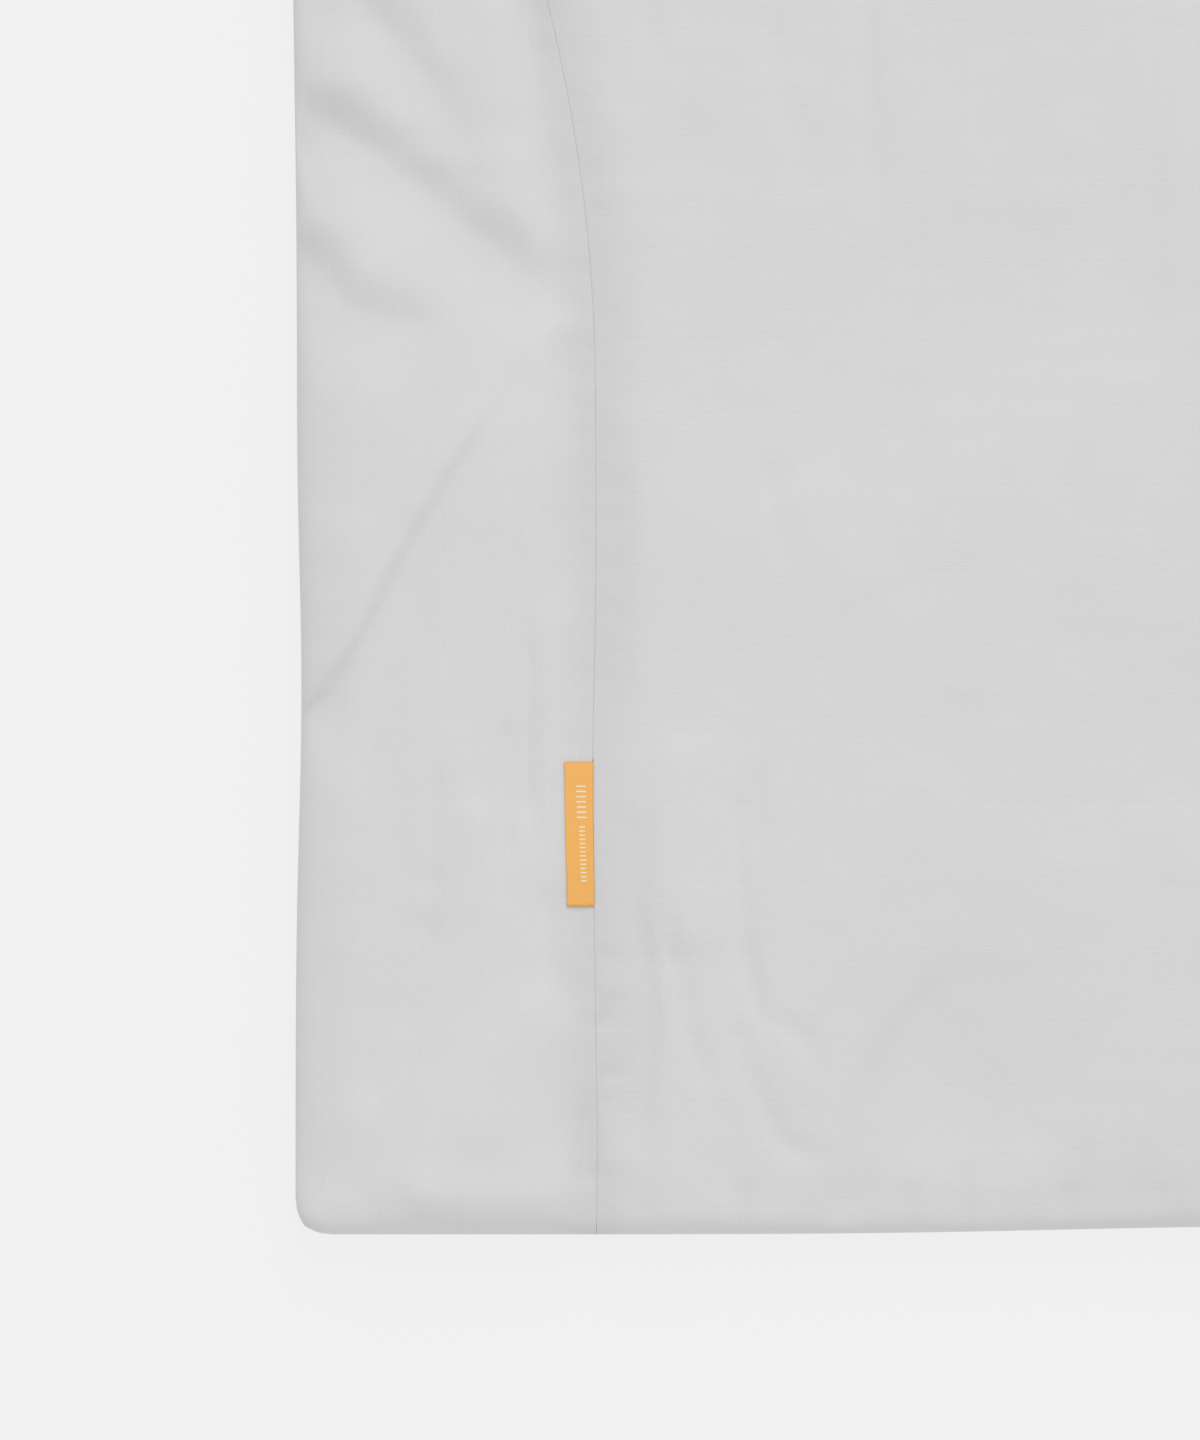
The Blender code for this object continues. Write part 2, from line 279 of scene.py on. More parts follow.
def edge_shift(x, y):
    """How far the outline and what lies near it stray from the straight edges, as (x, y)."""
    side_inset, end_inset = insets(x, y)
    up = y + HALF_LENGTH
    along = x + HALF_WIDTH
    near_corner = smoothstep(0.33, 0.50, up) + smoothstep(0.33, 0.50, along)
    free = np.clip(near_corner, 0, 1)
    drift = wave_field(EDGE_WAVES, x, y)
    left = 2.0 * MM * bell(up - 0.185, 0.065) + 0.4 * MM * bell(up - 0.31, 0.05)
    shift_x = np.where(x < 0, left - 0.9 * MM * drift * free, 0.9 * MM * drift)
    foot = 2.6 * MM * bell(along - 0.33, 0.10)
    shift_y = np.where(y < 0, foot + 0.9 * MM * drift * free, 0.9 * MM * drift)
    return shift_x * np.exp(-side_inset / 0.035), shift_y * np.exp(-end_inset / 0.035)


def round_corner(x, y):
    """Draw plan points near the corners in, so that the corner of the outline is round."""
    side_inset, end_inset = insets(x, y)
    across = np.clip(CORNER_REACH - side_inset, 0, None) / CORNER_REACH
    along = np.clip(CORNER_REACH - end_inset, 0, None) / CORNER_REACH
    ring = np.maximum(across, along)
    size = np.sqrt(across**2 + along**2)
    drawn = np.where(size > 0, ring / np.maximum(size, 1e-9), 1)
    share = 1 + (drawn - 1) * ring**2 * 0.85
    move_x = across * (1 - share) * CORNER_REACH
    move_y = along * (1 - share) * CORNER_REACH
    return x - np.sign(x) * move_x, y - np.sign(y) * move_y


def lay_out(x, y):
    """Plan points of the ideal outline to where the cloth lies."""
    x, y = round_corner(x, y)
    shift_x, shift_y = edge_shift(x, y)
    return x + shift_x, y + shift_y


def laid(x, y, z):
    """Points in space, from plan points of the ideal outline and heights."""
    return np.stack([*lay_out(x, y), z], -1)


# ---------------------------------------------------------------- height field


def smooth_path(points):
    """A soft curve through a fold's plan points, in metres in the CAD's frame."""
    points = [Vector((x * MM - HALF_WIDTH, y * MM - HALF_LENGTH)) for x, y in points]
    padded = [points[0] * 2 - points[1]] + points + [points[-1] * 2 - points[-2]]
    path = []
    for a, b, c, d in zip(padded, padded[1:], padded[2:], padded[3:]):
        for step in range(4):
            t = step / 4
            point = 2 * b + (c - a) * t + (2 * a - 5 * b + 4 * c - d) * t * t
            path.append(0.5 * (point + (3 * b - a - 3 * c + d) * t**3))
    path.append(points[-1])
    return np.array([tuple(point) for point in path])


def fold(x, y, path, start_depth, end_depth, left, right):
    """The change of height that one fold makes along its path, which may be steeper on one side."""
    change = np.zeros(x.shape)
    reach = 2.6 * max(left, right)
    low, high = path.min(0) - reach, path.max(0) + reach
    near = (x > low[0]) & (x < high[0]) & (y > low[1]) & (y < high[1])
    if not near.any():
        return change
    px, py = x[near], y[near]
    best = np.full(px.shape, 1e9)
    along = np.zeros(px.shape)
    aside = np.zeros(px.shape)
    runs = np.linalg.norm(path[1:] - path[:-1], axis=1)
    total = runs.sum()
    start = 0
    for a, b, run in zip(path, path[1:], runs):
        step = (b - a) / max(run, 1e-9)
        from_x, from_y = px - a[0], py - a[1]
        share = np.clip((from_x * step[0] + from_y * step[1]) / max(run, 1e-9), 0, 1)
        away = (from_x - share * run * step[0]) ** 2 + (from_y - share * run * step[1]) ** 2
        closer = away < best
        best = np.where(closer, away, best)
        along = np.where(closer, (start + share * run) / total, along)
        aside = np.where(closer, step[0] * from_y - step[1] * from_x, aside)
        start += run
    # the two sides join without a step past the ends of the path
    distance = np.sqrt(best)
    side = np.clip(aside / np.maximum(distance, 1e-6), -1, 1) * 0.5 + 0.5
    width = right + (left - right) * side
    taper = smoothstep(0, 0.16, along) * (1 - smoothstep(0.80, 1, along)) * 0.8 + 0.2
    depth = start_depth + (end_depth - start_depth) * along
    change[near] = -depth * taper * np.exp(-best / width**2)
    return change


def make_folds():
    """All folds: those of the photographed corner, and seeded ones for the rest of the quilt."""
    folds = []

    def add(points, start_depth, end_depth, left, right):
        folds.append((smooth_path(points), start_depth * MM, end_depth * MM, left * MM, right * MM))

    for shape in LEFT_CORNER_FOLDS:
        add(*shape)
    for along, length, depth in FOOT_DENTS:
        add(((along, -4), (along + 1, length)), depth, 0.6 * depth, 4, 4)
    random = np.random.RandomState(SEED_FOLDS)
    wide, long = 2000 * HALF_WIDTH, 2000 * HALF_LENGTH

    def chance(low, high):
        return low + (high - low) * random.rand()

    # dents across the edges
    for edge in ("foot", "head", "left", "right"):
        at = 300 if edge == "foot" else 430 if edge == "left" else 20
        stop = wide if edge in ("foot", "head") else long
        while at < stop - 15:
            length, lean, depth = chance(12, 40), chance(-8, 8), chance(0.5, 1.3)
            ends = {
                "foot": ((at, -1), (at + lean, length)),
                "head": ((at, long + 1), (at + lean, long - length)),
                "left": ((-1, at), (length, at + lean)),
                "right": ((wide + 1, at), (wide - length, at + lean)),
            }[edge]
            width = chance(6, 10)
            add(ends, depth, 0.5 * depth, width, width)
            at += chance(26, 62)

    def gusset_at(up):
        """Width of a gusset, so far up from the foot."""
        return 1000 * (HALF_WIDTH - seam_line_x(up * MM - HALF_LENGTH))

    # folds that run from the right seam to the right edge
    for up in (40, 95, 150, 205, 255, 300, 345, 395, 450, 500):
        seam = gusset_at(up)
        rise = chance(15, 60)
        outer = chance(0.0, 0.45) * seam
        ends = ((wide - outer, up + rise), (wide - 0.55 * seam, up + 0.5 * rise), (wide - seam * 0.92, up))
        add(ends, chance(0.8, 3.0), chance(0.4, 0.9), chance(6, 15), chance(6, 15))
    # and beyond the photograph at the left
    for up in (445, 500, 545):
        seam = gusset_at(up)
        ends = ((1, up + chance(0, 25)), (0.5 * seam, up + 8), (seam * 0.95, up - chance(10, 25)))
        add(ends, chance(0.8, 2.4), chance(0.4, 0.8), chance(6, 9), chance(8, 15))

    # long soft folds over the middle
    for _ in range(46):
        x, y = chance(60, wide - 60), chance(60, long - 60)
        if x < 300 and y < 460:
            continue
        turn, bend, half = chance(0, math.pi), chance(-0.5, 0.5), chance(30, 110)
        first = (x - half * math.cos(turn - bend), y - half * math.sin(turn - bend))
        last = (x + half * math.cos(turn + bend), y + half * math.sin(turn + bend))
        depth = chance(0.5, 1.6)
        add((first, (x, y), last), depth, depth, chance(12, 20), chance(12, 26))
    return folds


def make_puckers():
    """Small gathers at both sides of the side seams."""
    random = np.random.RandomState(SEED_FOLDS + 1)
    puckers = []
    for side in (LEFT, RIGHT):
        for outward in (1, -1):
            up = 6.0
            while up < 1000 * (SEAM_END_Y + HALF_LENGTH) - 30:
                y = up * MM - HALF_LENGTH
                seam = 1000 * (seam_at(side, y) + HALF_WIDTH)
                length, lean = 6 + 10 * random.rand(), -3 + 6 * random.rand()
                end = seam + side * outward * length
                path = smooth_path(((seam, up), (end, up + lean)))
                depth, width = (0.12 + 0.3 * random.rand()) * MM, (2.6 + 1.6 * random.rand()) * MM
                puckers.append((path, depth, 0.3 * depth, width, width))
                up += 7 + 9 * random.rand()
    return puckers


FOLDS = make_folds() + make_puckers()
BROAD_WAVES = random_waves(SEED_WAVES, 26, 0.085, 0.30)
FINE_WAVES = random_waves(SEED_WAVES + 1, 40, 0.013, 0.045)
BROAD_WAVE, FINE_WAVE = 0.8 * MM, 0.045 * MM


def crown(side_inset, end_inset):
    """Height of the resting face, before its roll at the edge."""
    soft = 0.05
    blend = np.clip(0.5 + 0.5 * (end_inset - side_inset) / soft, 0, 1)
    inset = end_inset * (1 - blend) + side_inset * blend - soft * 0.5 * blend * (1 - blend)
    share = np.clip((inset - EDGE_ROLL) / (CROWN_REACH - EDGE_ROLL), 0, 1)
    return SHOULDER + (LOFT - SHOULDER) * (1 - (1 - share) ** 2)


def roll(inset):
    """Share of the full height at an inset from the edge."""
    return np.sqrt(np.clip(1 - (1 - np.clip(inset / EDGE_ROLL, 0, 1)) ** 3.4, 0, 1))


def seam_dip(x, y):
    """How far the face sinks towards the side seams."""
    dip = np.zeros(x.shape)
    for side in (LEFT, RIGHT):
        away = np.abs(x - seam_at(side, y))
        run = 1 - smoothstep(SEAM_END_Y, SEAM_END_Y + 0.012, y)
        dip += run * (VALLEY_DEPTH * np.exp(-away / VALLEY_REACH) + SINK_DEPTH * bell(away, SINK_REACH))
    beside_label = bell(y - HINGE.y, 0.036) * (x < 0)
    return dip * (1 - 0.92 * beside_label)


def relief(x, y):
    """Folds and undulations of the face."""
    height = np.zeros(x.shape)
    for shape in FOLDS:
        height += fold(x, y, *shape)
    for (at_x, at_y), (radius_x, radius_y), rise in LEFT_CORNER_SWELLS:
        away_x = (x + HALF_WIDTH) / MM - at_x
        away_y = (y + HALF_LENGTH) / MM - at_y
        height += rise * MM * np.exp(-((away_x / radius_x) ** 2) - (away_y / radius_y) ** 2)
    # the photographed corner has its own folds, so the random ones are nearly still there
    quiet = 1 - 0.96 * bell(x + HALF_WIDTH - 0.14, 0.34) * bell(y + HALF_LENGTH - 0.18, 0.42)
    height += quiet * (BROAD_WAVE * wave_field(BROAD_WAVES, x, y) + sample_loft(x, y))
    height += FINE_WAVE * wave_field(FINE_WAVES, x, y)
    under_label = bell(y - HINGE.y, 0.030) * bell(x - HINGE.x + 0.005, 0.010)
    return height * (1 - 0.9 * under_label)


def face_height(x, y):
    """Height of the face's outer surface over plan points of the ideal outline."""
    side_inset, end_inset = insets(x, y)
    top = crown(side_inset, end_inset) + relief(x, y) - seam_dip(x, y)
    return CURL_HEIGHT + (top - CURL_HEIGHT) * roll(side_inset) * roll(end_inset)


# ---------------------------------------------------------------- lattices and objects


def quads(grid):
    """The values at the four corners of each cell of a lattice, in order round it."""
    return np.stack([grid[:-1, :-1], grid[:-1, 1:], grid[1:, 1:], grid[1:, :-1]], 2)


def lattice_faces(rows, columns):
    """Quads over a whole lattice."""
    return quads(np.arange(rows * columns).reshape(rows, columns)).reshape(-1, 4).tolist()


def placed(name, data):
    """A new object in the scene."""
    made = bpy.data.objects.new(name, data)
    bpy.context.scene.collection.objects.link(made)
    return made


def cloth_piece(name, points, faces, uv, finish):
    """A smooth piece, with its cloth coordinates in metres as its UV map."""
    mesh = bpy.data.meshes.new(name)
    mesh.from_pydata(points.reshape(-1, 3).tolist(), [], faces)
    layer = mesh.uv_layers.new(name="cloth")
    layer.data.foreach_set("uv", uv.reshape(-1).astype(np.float32))
    mesh.shade_smooth()
    mesh.materials.append(finish)
    piece = placed(name, mesh)
    return piece


# ---------------------------------------------------------------- cloth simulation

LOFT_STEP = 0.0125
LOFT_FRAMES = 20
LOFT_CAP = 4.0 * MM
SOFT_HOLD = 0.012  # how strongly the batt holds the sheet, where a seam holds it with 1


def loft_grid():
    """A flat cloth over the quilt's plan, very slightly uneven so that it can buckle."""
    count_x = round(2 * HALF_WIDTH / LOFT_STEP) + 1
    count_y = round(2 * HALF_LENGTH / LOFT_STEP) + 1
    across = np.linspace(-HALF_WIDTH, HALF_WIDTH, count_x)
    x, y = np.meshgrid(across, np.linspace(-HALF_LENGTH, HALF_LENGTH, count_y))
    z = 0.35 * MM * wave_field(random_waves(SEED_LOFT, 30, 0.05, 0.20), x, y)
    return x, y, z


def simulate_loft():
    """Lets a sheet that is a little too large settle between the seams that hold it, and returns its heights.

    The edges and side seams hold it fast and the batt holds the rest softly, so it buckles into the
    shallow undulations of a quilt that is sewn only round its edges.
    """
    x, y, z = loft_grid()
    rows, columns = x.shape
    index = np.arange(rows * columns).reshape(rows, columns)
    mesh = bpy.data.meshes.new("loft_cloth")
    mesh.from_pydata(np.stack([x, y, z], -1).reshape(-1, 3).tolist(), [], lattice_faces(rows, columns))
    sheet = placed("loft_cloth", mesh)

    inset = np.minimum(*insets(x, y))
    below = y < SEAM_END_Y
    for side in (LEFT, RIGHT):
        inset = np.where(below, np.minimum(inset, np.abs(x - seam_at(side, y))), inset)
    hold = np.where(inset < 0.6 * LOFT_STEP, 1.0, SOFT_HOLD)
    held = sheet.vertex_groups.new(name="held")
    for weight in (1.0, SOFT_HOLD):
        held.add(index[hold == weight].tolist(), weight, "REPLACE")

    cloth = sheet.modifiers.new("cloth", "CLOTH")
    settings = cloth.settings
    settings.quality = 6
    settings.mass = 0.12
    settings.tension_stiffness = 25
    settings.compression_stiffness = 25
    settings.shear_stiffness = 12
    settings.bending_stiffness = 1.2
    settings.vertex_group_mass = "held"
    settings.pin_stiffness = 1.0
    settings.shrink_min = -0.010
    settings.effector_weights.gravity = 0
    cloth.collision_settings.use_collision = False
    scene = bpy.context.scene
    for number in range(1, LOFT_FRAMES + 1):
        scene.frame_set(number)
    settled = sheet.evaluated_get(bpy.context.evaluated_depsgraph_get())
    heights = np.zeros(rows * columns * 3)
    settled.data.vertices.foreach_get("co", heights)
    heights = heights.reshape(rows, columns, 3)[:, :, 2]
    bpy.data.objects.remove(sheet)
    bpy.data.meshes.remove(mesh)
    scene.frame_set(1)
    return np.clip(heights, -LOFT_CAP, LOFT_CAP)


LOFT_HEIGHTS = simulate_loft()


def sample_loft(x, y):
    """The simulated cloth's height over plan points."""
    rows, columns = LOFT_HEIGHTS.shape
    across = np.clip((x + HALF_WIDTH) / (2 * HALF_WIDTH), 0, 1) * (columns - 1)
    along = np.clip((y + HALF_LENGTH) / (2 * HALF_LENGTH), 0, 1) * (rows - 1)
    column = np.clip(across.astype(int), 0, columns - 2)
    row = np.clip(along.astype(int), 0, rows - 2)
    part_x, part_y = across - column, along - row
    part_x, part_y = part_x * part_x * (3 - 2 * part_x), part_y * part_y * (3 - 2 * part_y)
    lower = LOFT_HEIGHTS[row, column] * (1 - part_x) + LOFT_HEIGHTS[row, column + 1] * part_x
    upper = LOFT_HEIGHTS[row + 1, column] * (1 - part_x) + LOFT_HEIGHTS[row + 1, column + 1] * part_x
    return lower * (1 - part_y) + upper * part_y


# ---------------------------------------------------------------- meshes


def steps(start, end, step):
    """Even positions from start, left out, to end."""
    count = max(1, math.ceil(abs(end - start) / step))
    return [start + (end - start) * (number + 1) / count for number in range(count)]


ROLL_ANGLES = [math.radians(angle) for angle in (0, 13, 26, 40, 54, 70, 90)]
FACE_STRIP = [EDGE_ROLL * (1 - math.cos(angle)) for angle in ROLL_ANGLES]
EDGE_STRIP = TURNED_INSETS + FACE_STRIP
# which of a strip's points the seam's gap moves
SEAM_SHARE = np.array([1] * (TURNED + 1) + [0] * (len(FACE_STRIP) - 1))


def graded_faces(rows, columns, fine_row, fine_column, keep_rows, keep_columns):
    """Faces over a lattice that is fine only up to fine_row and fine_column.

    To the right of the fine part only keep_rows are used, and above it only keep_columns. The first
    face past the fine part has a point for each fine row or column that ends there.
    """
    faces = []

    def at(row, column):
        return row * columns + column

    for row in range(fine_row):
        for column in range(fine_column):
            faces.append([at(row, column), at(row, column + 1), at(row + 1, column + 1), at(row + 1, column)])
    kept = [row for row in keep_rows if row <= fine_row]
    for low, high in zip(kept, kept[1:]):
        for column in range(fine_column, columns - 1):
            face = [at(low, column), at(low, column + 1), at(high, column + 1), at(high, column)]
            if column == fine_column:
                face += [at(row, column) for row in range(high - 1, low, -1)]
            faces.append(face)
    kept = [column for column in keep_columns if column <= fine_column]
    kept += list(range(fine_column + 1, columns))
    for row in range(fine_row, rows - 1):
        for low, high in zip(kept, kept[1:]):
            face = [at(row, low)]
            if row == fine_row:
                face += [at(row, column) for column in range(low + 1, high)]
            faces.append(face + [at(row, high), at(row + 1, high), at(row + 1, low)])
    return faces


def grid_mesh(name, points, coordinates, finish, faces=None):
    """A piece from a lattice of points (rows, columns, 3) and their cloth coordinates in metres."""
    rows, columns = points.shape[:2]
    if faces is None:
        faces = lattice_faces(rows, columns)
    corners = np.concatenate([np.array(face) for face in faces])
    used, corners_used = np.unique(corners, return_inverse=True)
    sizes = np.array([len(face) for face in faces])
    ends = np.cumsum(sizes)
    listed = [corners_used[end - size : end].tolist() for end, size in zip(ends, sizes)]
    flat = coordinates.reshape(-1, 2)[corners]
    return cloth_piece(name, points.reshape(-1, 3)[used], listed, flat, finish)


def thicken(piece, thickness, offset=-1):
    """Give a sheet its thickness: inwards, or to both sides with an offset of 0."""
    modifier = piece.modifiers.new("thickness", "SOLIDIFY")
    modifier.thickness = thickness
    modifier.offset = offset
    return piece


FINE_FROM_LEFT = 0.415  # the photographed corner is finer, this far from the left edge
FINE_FROM_FOOT = 0.432
FINE = 2.4 * MM
COARSE = 10 * MM
SKIP = 4  # past the fine part, each fourth of its rows and columns goes on


def strip_offsets(kind_seam, gap):
    """A strip's offsets inwards from the panel's border, its allowance first.

    kind_seam is 1 where the border is a side seam and 0 where it is the turned edge.
    """
    edge = np.array(EDGE_STRIP)
    own = np.array([0.15 * MM, 0, 0.02 * MM, 0.09 * MM] + FACE_STRIP[1:])[None, :] + gap[:, None] * SEAM_SHARE
    return edge[None, :] * (1 - kind_seam[:, None]) + own * kind_seam[:, None]


def strip_drops():
    """How far a strip's first points lie under the face at a side seam."""
    return np.array([5.5, 0.5, 0.10, 0.02] + [0] * (len(FACE_STRIP) - 1)) * MM


def face_panel(name, left, right, row_y, fractions, finish, grade=None):
    """One face panel as a lattice.

    left and right give x and whether the border is a side seam, 0 to 1, for each row's y. The turned
    edge at the foot, and at the head where the panel reaches it, comes from the rows' own order.
    """
    rows_y, rows_turned = row_y
    left_x, left_seam, left_gap = left(rows_y)
    right_x, right_seam, right_gap = right(rows_y)
    width = right_x - left_x
    squeeze = np.clip(width / (2.6 * EDGE_ROLL), 0, 1)[:, None]
    strip_l = strip_offsets(left_seam, left_gap) * squeeze
    strip_r = strip_offsets(right_seam, right_gap) * squeeze
    inner_l = left_x + strip_l[:, -1]
    inner_r = right_x - strip_r[:, -1]
    inner = inner_l[:, None] + (inner_r - inner_l)[:, None] * fractions[None, :]
    x = np.concatenate([left_x[:, None] + strip_l, inner, (right_x[:, None] - strip_r)[:, ::-1]], 1)
    columns = x.shape[1]
    y = np.repeat(rows_y[:, None], columns, 1)

    strip = len(EDGE_STRIP)
    drop = np.zeros(x.shape)
    drop[:, :strip] = strip_drops()[None, :] * left_seam[:, None]
    drop[:, -strip:] = np.maximum(drop[:, -strip:], strip_drops()[None, ::-1] * right_seam[:, None])
    turned_column = np.zeros(x.shape)
    turned_column[:, :TURNED] = 1 - left_seam[:, None]
    turned_column[:, -TURNED:] = 1 - right_seam[:, None]
    turned_row = np.repeat(rows_turned[:, None], columns, 1)

    height = face_height(x, y) - drop
    height = np.maximum(height, FACE_BASE + 0.1 * MM)
    turned = np.maximum(turned_column, turned_row)
    z = height * (1 - turned) + FACE_BASE * turned
    cloth_x = cloth_along(x, z, strip)
    cloth_y = cloth_along(y.T, z.T, strip).T
    faces = graded_faces(*x.shape, *grade) if grade else None
    piece = grid_mesh(name, laid(x, y, z), np.stack([cloth_x, cloth_y], -1), finish, faces)
    return thicken(piece, CLOTH)


def cloth_along(place, height, strip):
    """Cloth coordinate along rows: the plan's own, and the true length over the strips at both ends."""
    run = np.diff(place, axis=1)
    run[:, :strip] = np.hypot(run, np.diff(height, axis=1))[:, :strip]
    run[:, -strip:] = np.hypot(run, np.diff(height, axis=1))[:, -strip:]
    total = np.cumsum(np.concatenate([np.zeros((len(run), 1)), run], 1), 1)
    middle = place.shape[1] // 2
    return total - total[:, middle : middle + 1] + place[:, middle : middle + 1]


def foot_rows(inner):
    """y of the rows at the foot: allowance, curl and roll, then the inner rows; with the turned shares."""
    foot = [inset - HALF_LENGTH for inset in EDGE_STRIP]
    return foot + list(inner), [1.0] * TURNED + [0.0] * (len(FACE_STRIP) + len(inner))


def seam_border(side):
    """A panel's border that follows a side seam and then, for the centre panel, the side edge."""

    def border(y):
        x = seam_at(side, y)
        seam = 1 - smoothstep(SEAM_END_Y - 0.004, SEAM_END_Y + 0.010, y)
        gap = np.full(y.shape, SEAM_GAP)
        if side == LEFT:
            from_label = np.abs(y - HINGE.y - 0.5 * MM)
            gap = gap + LABEL_GAP * (1 - smoothstep(CAUGHT_FROM, CAUGHT_TO, from_label))
        return x, seam, gap

    return border


def edge_border(side):
    """A panel's border along the side edge."""

    def border(y):
        return np.full(y.shape, side * HALF_WIDTH), np.zeros(y.shape), np.zeros(y.shape)

    return border


def center_face(finish):
    """The middle panel of the face, from foot to head, between the side seams."""
    strip = len(EDGE_STRIP)
    fine_end = FINE_FROM_FOOT - HALF_LENGTH
    head = HALF_LENGTH - EDGE_ROLL
    fine_rows = steps(EDGE_ROLL - HALF_LENGTH, fine_end, FINE)
    inner = fine_rows + steps(fine_end, head - 0.04, COARSE) + steps(head - 0.04, head, 0.6 * COARSE)[:-1]
    rows_y, turned = foot_rows(inner)
    rows_y += [HALF_LENGTH - inset for inset in EDGE_STRIP[::-1]]
    turned += [0.0] * len(FACE_STRIP) + [1.0] * TURNED

    span = 2 * (SEAM_X - EDGE_ROLL)
    fine_end = FINE_FROM_LEFT - GUSSET_WIDTH
    fine_columns = steps(0, fine_end, FINE)
    stops = fine_columns + steps(fine_end, span - 0.04, COARSE) + steps(span - 0.04, span, 0.6 * COARSE)[:-1]

    fine_row, fine_column = strip - 1 + len(fine_rows), strip - 1 + len(fine_columns)
    keep_rows = list(range(strip)) + list(range(strip - 1 + SKIP, fine_row - 1, SKIP)) + [fine_row]
    keep_columns = list(range(strip)) + list(range(strip - 1 + SKIP, fine_column - 1, SKIP)) + [fine_column]
    rows = (np.array(rows_y), np.array(turned))
    grade = (fine_row, fine_column, keep_rows, keep_columns)
    borders = (seam_border(LEFT), seam_border(RIGHT))
    piece = face_panel("center_face_cloth", *borders, rows, np.array(stops) / span, finish, grade)
    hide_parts("face_center_panel")
    return piece


def gusset_face(side, finish):
    """A foot gusset panel, between a side seam and the side edge."""
    tip = SEAM_END_Y - 0.004
    step = 2.2 * MM if side == LEFT else 2.8 * MM
    inner = steps(EDGE_ROLL - HALF_LENGTH, tip, step)
    rows_y, turned = foot_rows(inner)
    span = GUSSET_WIDTH - 2 * EDGE_ROLL
    stops = steps(0, span, step)[:-1]
    borders = (edge_border(side), seam_border(side))
    if side == RIGHT:
        borders = borders[::-1]
    name = SIDE_NAMES[side]
    rows = (np.array(rows_y), np.array(turned))
    piece = face_panel(f"{name}_gusset_cloth", *borders, rows, np.array(stops) / span, finish)
    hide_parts(f"face_gusset_{name}")
    return piece


LINING_STRIP = [LINING_ROLL * (1 - math.cos(angle)) for angle in ROLL_ANGLES]


def lining_inset_height(inset):
    """Share of the lining's height at the turned edge, 1 at the edge and 0 where it lies on the floor."""
    return 1 - np.sqrt(np.clip(1 - (1 - np.clip(inset / LINING_ROLL, 0, 1)) ** 2, 0, 1))


def lining(finish):
    """The lining, one piece, flat on the floor and turned up to the edge seam."""
    edge = TURNED_INSETS + LINING_STRIP
    turned_edge = [1.0] * TURNED + [0.0] * len(LINING_STRIP)

    def axis(half):
        inner = steps(LINING_ROLL - half, 0.05 - half, 5 * MM) + steps(0.05 - half, half - 0.05, 13 * MM)
        inner += steps(half - 0.05, half - LINING_ROLL, 5 * MM)[:-1]
        places = [inset - half for inset in edge] + inner + [half - inset for inset in edge[::-1]]
        return np.array(places), np.array(turned_edge + [0.0] * len(inner) + turned_edge[::-1])

    xs, turned_x = axis(HALF_WIDTH)
    ys, turned_y = axis(HALF_LENGTH)
    x, y = np.meshgrid(xs, ys)
    rise = np.maximum(*(lining_inset_height(inset) for inset in insets(x, y)))
    wrinkles = np.clip(wave_field(random_waves(29, 30, 0.03, 0.12), x, y), 0, None) * 0.35 * MM
    wrinkles = LINING_WRINKLE * np.tanh(wrinkles / LINING_WRINKLE)
    turned = np.maximum(turned_x[None, :], turned_y[:, None])
    z = (LINING_CURL_HEIGHT * rise + wrinkles * (1 - rise)) * (1 - turned) + LINING_TOP * turned
    cloth = np.stack([x + np.sign(x) * rise * 5 * MM, y + np.sign(y) * rise * 5 * MM], -1)
    piece = grid_mesh("lining_cloth", laid(x, y, z)[:, ::-1], cloth[:, ::-1], finish)
    thicken(piece, CLOTH)
    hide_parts("lining_panel")
    return piece


def batt(name, node, left, right, y_start, y_end, step, finish):
    """Insulation between lining and face, as a closed pad that follows both."""
    rows = np.array([y_start] + steps(y_start, y_end, step))
    left_x, right_x = left(rows), right(rows)
    count = max(6, math.ceil((right_x - left_x).max() / step))
    share = np.linspace(0, 1, count + 1)
    x = left_x[:, None] + (right_x - left_x)[:, None] * share[None, :]
    y = np.repeat(rows[:, None], count + 1, 1)
    top = face_height(x, y)
    spread = np.pad(top, 1, mode="edge")
    for shift_y in (0, 1, 2):
        for shift_x in (0, 1, 2):
            top = np.minimum(top, spread[shift_y : shift_y + top.shape[0], shift_x : shift_x + top.shape[1]])
    top = np.maximum(top - BATT_CLEARANCE, BATT_LEAST_TOP)
    floor = np.full(top.shape, BATT_FLOOR)
    middle = (top + floor) / 2
    closing = np.full(top.shape, BATT_RIM_CLOSING)
    closing[1:-1, 1:-1] = 0
    top = top * (1 - closing) + middle * closing
    floor = floor * (1 - closing) + middle * closing
    points = np.concatenate([laid(x, y, top), laid(x, y, floor)[:, ::-1]], 1)
    flat = np.stack([x, y], -1)
    coordinates = np.concatenate([flat, flat[:, ::-1]], 1)

    def closed():
        """The lattice's faces, the side that joins the last column to the first, and the two ends."""
        rows, columns = points.shape[:2]
        index = np.arange(rows * columns).reshape(rows, columns)
        half = columns // 2
        seam = np.stack([index[:-1, -1], index[:-1, 0], index[1:, 0], index[1:, -1]], -1)
        ends = []
        for row, turn in ((index[0], 1), (index[-1], -1)):
            near, far = row[:half], row[half:][::-1]
            end = np.stack([near[:-1], far[:-1], far[1:], near[1:]], -1)
            ends.append(end[:, ::turn])
        return lattice_faces(rows, columns) + np.concatenate([seam] + ends).tolist()

    piece = grid_mesh(name, points, coordinates, finish, closed())
    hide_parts(node)
    return piece


